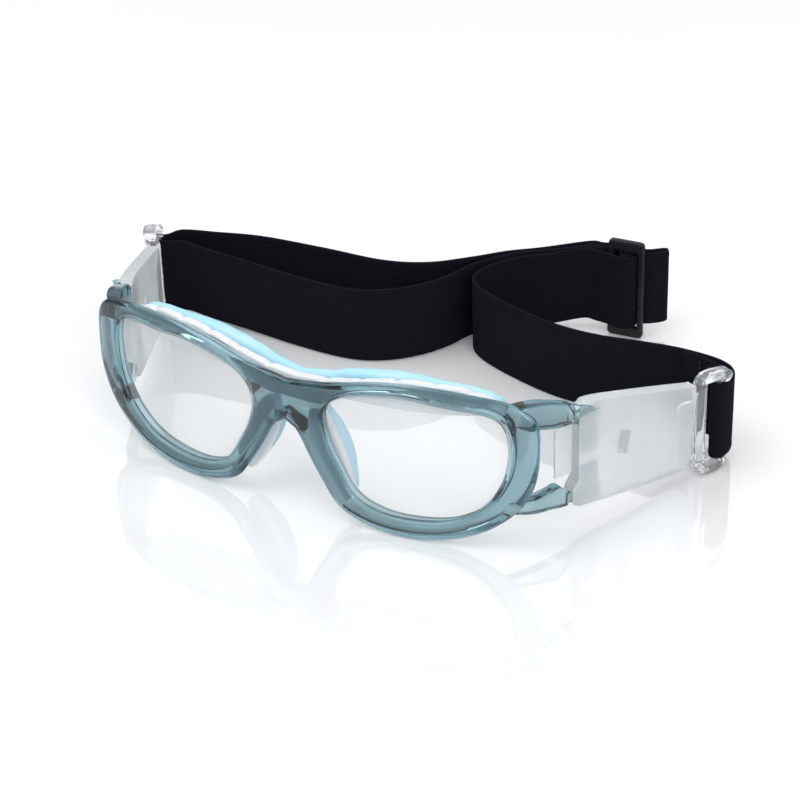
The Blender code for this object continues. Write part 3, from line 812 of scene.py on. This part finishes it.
# The strap's centre line: points (x, y, height of its lower edge), from the end sewn round the slider,
# out to the right temple, back behind the slider, and away to the end sewn at the left temple
LOW = STRAP_ON_TABLE
BAR_WRAP = 1.72
NEAR_END = at_slider([(-13.0, -1.5), (-9.0, -2.1), (-5.2, -3.1), (-2.6, -2.9), (-0.4, -1.8)])
NEAR_END += at_slider([(BAR_WRAP * math.cos(math.radians(t)), BAR_WRAP * math.sin(math.radians(t)))
                       for t in (-50, -10, 30, 70, 110, 150, 180)])
NEAR_END += at_slider([(-2.4, -1.1), (-4.4, -1.75), (-9.0, -0.7), (-13.0, 0.0)])
TO_RIGHT = [(18.5, 122.6, 2.8), (10.0, 118.4, 1.8), (3.0, 112.6, 1.0), (-1.8, 105.0, 0.6), (-4.6, 97.0, LOW),
            (-9.0, 88.6, LOW), (-16.5, 80.8, LOW), (-27.0, 76.2, LOW), (-44.0, 75.2, 0.6), (-63.0, 75.4, 1.5),
            (-77.0, 75.0, 2.4)]
TO_RIGHT += [buckle_point(-1, 45.6, -8.0), buckle_point(-1, 45.3, -3.4)]
RIGHT_LOOP = bar_loop(-1, 190, 0, 6)
FROM_RIGHT = [buckle_point(-1, 50.1, -2.4), buckle_point(-1, 53.2, -6.4)]
FROM_RIGHT += [(-80.0, 85.0, 2.6), (-66.0, 90.2, 2.0), (-46.0, 93.6, 1.2), (-27.0, 96.4, LOW),
               (-14.0, 101.4, LOW), (-3.5, 109.6, 0.8), (5.0, 116.6, 1.6), (14.0, 121.6, 2.6)]
BEHIND = at_slider([(-13.0, -3.0), (-9.0, -3.6), (-4.7, -4.4), (0.0, -4.4), (4.7, -4.3), (7.0, -5.5),
                    (9.2, -7.1), (10.4, -7.1), (10.4, -5.9), (8.4, -3.9), (5.7, -2.2), (4.1, -1.72),
                    (3.15, -0.8), (3.0, 0.8), (2.3, 2.5), (0.6, 3.15), (-1.6, 3.1), (-4.7, 2.3),
                    (-9.0, 1.6), (-13.0, 1.5)])
TO_LEFT = [(18.5, 119.9, 2.6), (11.0, 115.6, 1.8), (5.4, 110.2, 1.0), (2.4, 104.4, 0.5), (2.6, 99.6, LOW),
           (6.4, 95.4, LOW), (14.5, 91.4, LOW), (27.0, 87.4, LOW), (39.0, 85.0, LOW), (51.0, 84.6, 0.6),
           (63.0, 85.4, 1.4), (75.0, 85.6, 2.3)]
TO_LEFT += [buckle_point(1, 54.6, -10.6), buckle_point(1, 55.4, -5.0), buckle_point(1, 54.3, -1.5),
            buckle_point(1, 51.6, 0.9)]
LEFT_LOOP = bar_loop(1, 75, 230, 5)
LEFT_END = [buckle_point(1, 49.8, -2.6), buckle_point(1, 53.0, -5.6), buckle_point(1, 52.9, -10.4),
            buckle_point(1, 50.8, -18.0)]
ROUTE = [Vector(p) for p in NEAR_END + TO_RIGHT + RIGHT_LOOP + FROM_RIGHT
         + BEHIND + TO_LEFT + LEFT_LOOP + LEFT_END]
# The band is made in four stretches, which meet where it crosses this line beside the slider
SEAM_X = 18.5
SEAM_BEHIND = 110


def strap_line(step=0.8):
    """The whole band's centre line in even steps, so that its parts share their weave."""
    rough = spline(ROUTE, lambda a, b: max(2, round((b - a).length / (step * 0.5))))
    points = [rough[0]]
    travelled = 0.0
    lengths = [0.0]
    for here, there in zip(rough, rough[1:]):
        travelled += (there - here).length
        if travelled - lengths[-1] >= step:
            points.append(there)
            lengths.append(travelled)
    points.append(rough[-1])
    lengths.append(travelled)
    return points, lengths


def band_section():
    """Flat band with rounded edges as (across, up) pairs; the middle is a little thinner than the edges."""
    # height above the lower edge, and half the thickness there as a share of the strap's
    lower = [(0.0, 0.18), (0.35, 0.4), (0.9, 0.5), (1.6, 0.5), (2.4, 0.44), (4.0, 0.46), (7.0, 0.47),
             (10.0, 0.48), (12.0, 0.48)]
    left = [(-STRAP_THICKNESS * share, z) for z, share in lower]
    left += [(-STRAP_THICKNESS * share, STRAP_WIDTH - z) for z, share in lower[-2::-1]]
    return left + [(-a, z) for a, z in left[::-1]]


def make_band(name, points, lengths):
    """One stretch of the strap as a mesh with its weave coordinates."""
    section = band_section()
    bm = bmesh.new()
    along_layer = bm.verts.layers.float.new("along")
    up_layer = bm.verts.layers.float.new("up")
    rows = []
    for i, p in enumerate(points):
        ahead = points[min(i + 1, len(points) - 1)] - points[max(i - 1, 0)]
        across = Vector((ahead.y, -ahead.x, 0.0)).normalized()
        row = []
        for a, z in section:
            v = bm.verts.new(place(*(p + across * a + Vector((0, 0, z)))))
            v[along_layer] = lengths[i]
            v[up_layer] = z
            row.append(v)
        rows.append(row)
    for here, there in zip(rows, rows[1:]):
        for j in range(len(section)):
            k = (j + 1) % len(section)
            bm.faces.new((here[j], here[k], there[k], there[j]))
    bm.faces.new(rows[0])
    bm.faces.new(rows[-1])
    return finish_mesh(name, bm, STRAP_MAT, 60)


def make_strap():
    points, lengths = strap_line()
    count = len(points)
    # the band crosses the seam three times: out to the right, back behind the slider, and away to the left
    marks = [i for i in range(1, count)
             if (points[i - 1].x - SEAM_X) * (points[i].x - SEAM_X) < 0 and points[i].y > SEAM_BEHIND]
    parts = [("strap_slider_end", 0, marks[0]), ("strap_right", marks[0], marks[1]),
             ("strap_slider_fold", marks[1], marks[2]), ("strap_left", marks[2], count - 1)]
    made = {}
    for name, first, last in parts:
        made[name] = make_band(name, points[first:last + 1], lengths[first:last + 1])
    for name in ("strap_slider_end", "strap_slider_fold"):
        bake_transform(made[name])
    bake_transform(made["strap_right"])
    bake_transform(made["strap_left"])
    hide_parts("strap_band")


def slider_prism(name, outline, reach):
    """An outline of (along, height) pairs made solid to both sides of the slider's middle."""
    rings = [[place(*slider_point(a, b, z)) for a, z in outline] for b in (-reach, reach)]
    return loft(name, rings, SLIDER_MAT)


def make_slider():
    half = SLIDER_BAR / 2
    middle = STRAP_AT_SLIDER + STRAP_WIDTH / 2
    low = middle - SLIDER_HEIGHT / 2
    section = rounded_section(2 * (SLIDER_BAR_PITCH + half), SLIDER_HEIGHT, 1.3, 5)
    slider = slider_prism("web_slider", [(a, middle + h) for a, h in section], half)
    opening = (low + SLIDER_RIM, low + SLIDER_HEIGHT - SLIDER_RIM)
    slots = []
    for start in (-SLIDER_BAR_PITCH, 0.0):
        across = (start + half, start + SLIDER_BAR_PITCH - half)
        slots.append(slider_prism("tool_slider", rectangle(across, opening), 4.0))
    combine(slider, slots, "DIFFERENCE")
    bevel(slider, SLIDER_BEVEL, 3, 40)
    give(slider, "slider", ["strap_slider"])


def capsule(bm, start, end, radius):
    """A short thread: six-sided, with closed ends."""
    way = (end - start).normalized()
    side = way.orthogonal().normalized()
    other = way.cross(side)
    # share of the length, and share of the radius there
    stations = ((0.0, 0.35), (0.12, 0.9), (0.5, 1.0), (0.88, 0.9), (1.0, 0.35))
    corners = [side * math.cos(k * math.pi / 3) + other * math.sin(k * math.pi / 3) for k in range(6)]
    loft_faces(bm, [[start.lerp(end, t) + corner * radius * share for corner in corners]
                    for t, share in stations])


FRAY_COUNT = 15
FRAY_START = -12.6
FRAY_STEP = 0.62
STITCH_ROWS = ((52.4, -9.4), (51.85, -12.6))
STITCH_COUNT = 14
STITCH_PITCH = 1.5
STITCH_LENGTH = 1.1
STITCH_RADIUS = 0.14


def make_threads():
    """Cut weft ends that hang from the sewn end beside the slider, and the stitches at the left buckle."""
    rng = random.Random(7)
    bm = bmesh.new()
    for i in range(FRAY_COUNT):
        along = FRAY_START - i * FRAY_STEP - rng.uniform(0.0, 0.25)
        # the band's lower edge drops slowly away from the slider
        height = STRAP_AT_SLIDER + 0.5 + 0.036 * (along + 13)
        top = place(*slider_point(along, -1.5 + rng.uniform(-0.3, 0.3), height))
        foot = top + Vector((rng.uniform(-0.5, 0.5), rng.uniform(-0.3, 0.3), -rng.uniform(0.9, 1.9))) * MM
        capsule(bm, top, foot, rng.uniform(0.10, 0.16) * MM)
    fray = finish_mesh("frayed_threads", bm, THREAD_MAT, 60)
    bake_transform(fray)
    bm = bmesh.new()
    for along, out in STITCH_ROWS:
        for i in range(STITCH_COUNT):
            z = STRAP_AT_BUCKLE + 2.0 + i * STITCH_PITCH
            start = place(*buckle_point(1, along, out, z))
            end = place(*buckle_point(1, along, out + 0.25, z + STITCH_LENGTH))
            capsule(bm, start, end, STITCH_RADIUS * MM)
    stitches = finish_mesh("bartack_stitches", bm, THREAD_MAT, 60)
    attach(stitches, "temple_left")


# ---------------------------------------------------------------- studio

SKY_LOW = (0.17, 0.205, 0.225)
SKY_HIGH = (0.98, 0.99, 1.0)
SKY_STRENGTH = 1.12
# name, place in metres, side of the square and power in watts
LIGHTS = [("key", (-0.5, -0.5, 1.1), 0.9, 5.0), ("fill", (0.75, -0.55, 0.5), 0.5, 3.2)]


# Half the floor's side, and how far it lies below the object, in metres
FLOOR_REACH = 3.0
FLOOR_DROP = 0.0001


def make_floor():
    bm = bmesh.new()
    corners = ((-1, -1), (1, -1), (1, 1), (-1, 1))
    bm.faces.new([bm.verts.new((x * FLOOR_REACH, y * FLOOR_REACH, 0.0)) for x, y in corners])
    s = Shader("white_gloss_floor")
    s.set(ior=1.5, coat_weight=1.0, coat_roughness=0.0, coat_ior=2.0, specular_ior_level=0.1)
    s.link(s.ramp(s.noise(6.0), (0.78, 0.785, 0.79), (0.80, 0.805, 0.81)), "Base Color")
    s.link(s.ramp(s.noise(900.0), (0.3,) * 3, (0.34,) * 3), "Roughness")
    floor = finish_mesh("floor", bm, s.mat)
    floor.location.z = -FLOOR_DROP


def make_sky():
    world = bpy.data.worlds.new("studio")
    bpy.context.scene.world = world
    world.use_nodes = True
    tree = world.node_tree
    direction = tree.nodes.new("ShaderNodeTexCoord")
    parts = tree.nodes.new("ShaderNodeSeparateXYZ")
    sky = tree.nodes.new("ShaderNodeValToRGB")
    sky.color_ramp.elements[0].position = 0.02
    sky.color_ramp.elements[0].color = (*SKY_LOW, 1.0)
    sky.color_ramp.elements[1].position = 0.45
    sky.color_ramp.elements[1].color = (*SKY_HIGH, 1.0)
    tree.links.new(direction.outputs["Generated"], parts.inputs[0])
    tree.links.new(parts.outputs["Z"], sky.inputs["Fac"])
    tree.links.new(sky.outputs["Color"], tree.nodes["Background"].inputs["Color"])
    tree.nodes["Background"].inputs["Strength"].default_value = SKY_STRENGTH


def make_lights():
    for name, where, wide, power in LIGHTS:
        light = bpy.data.lights.new(name, "AREA")
        light.shape = "SQUARE"
        light.size = wide
        light.energy = power
        lamp = bpy.data.objects.new(name, light)
        lamp.location = where
        lamp.rotation_euler = Vector(where).to_track_quat("Z", "Y").to_euler()
        bpy.context.scene.collection.objects.link(lamp)


# The camera's own directions, its place in millimetres and its focal length
CAMERA_RIGHT = (0.8624507, 0.5053198, -0.0288212)
CAMERA_UP = (-0.2385230, 0.4560007, 0.8574206)
CAMERA_BACK = (0.4464141, -0.7326085, 0.5138086)
CAMERA_PLACE = (306.15, -442.79, 354.46)
CAMERA_FOCAL = 106.58


def make_camera():
    data = bpy.data.cameras.new("camera")
    data.sensor_width = 36.0
    data.lens = CAMERA_FOCAL
    data.clip_start = 0.01
    camera = bpy.data.objects.new("camera", data)
    turn = Matrix((CAMERA_RIGHT, CAMERA_UP, CAMERA_BACK)).transposed().to_4x4()
    camera.matrix_world = Matrix.Translation(place(*CAMERA_PLACE)) @ turn
    bpy.context.scene.collection.objects.link(camera)
    bpy.context.scene.camera = camera


make_camera()
make_floor()
make_sky()
make_lights()
# A plain display curve, so that the white floor and the dark clear plastic both keep their own colours
bpy.context.scene.view_settings.view_transform = "Standard"
make_front()
LENS_ROWS = rim_rows()
for side in (1, -1):
    make_lens(side, LENS_ROWS)
    make_nose(side)
    make_temple(side)
make_brow()
make_strap()
make_slider()
make_threads()
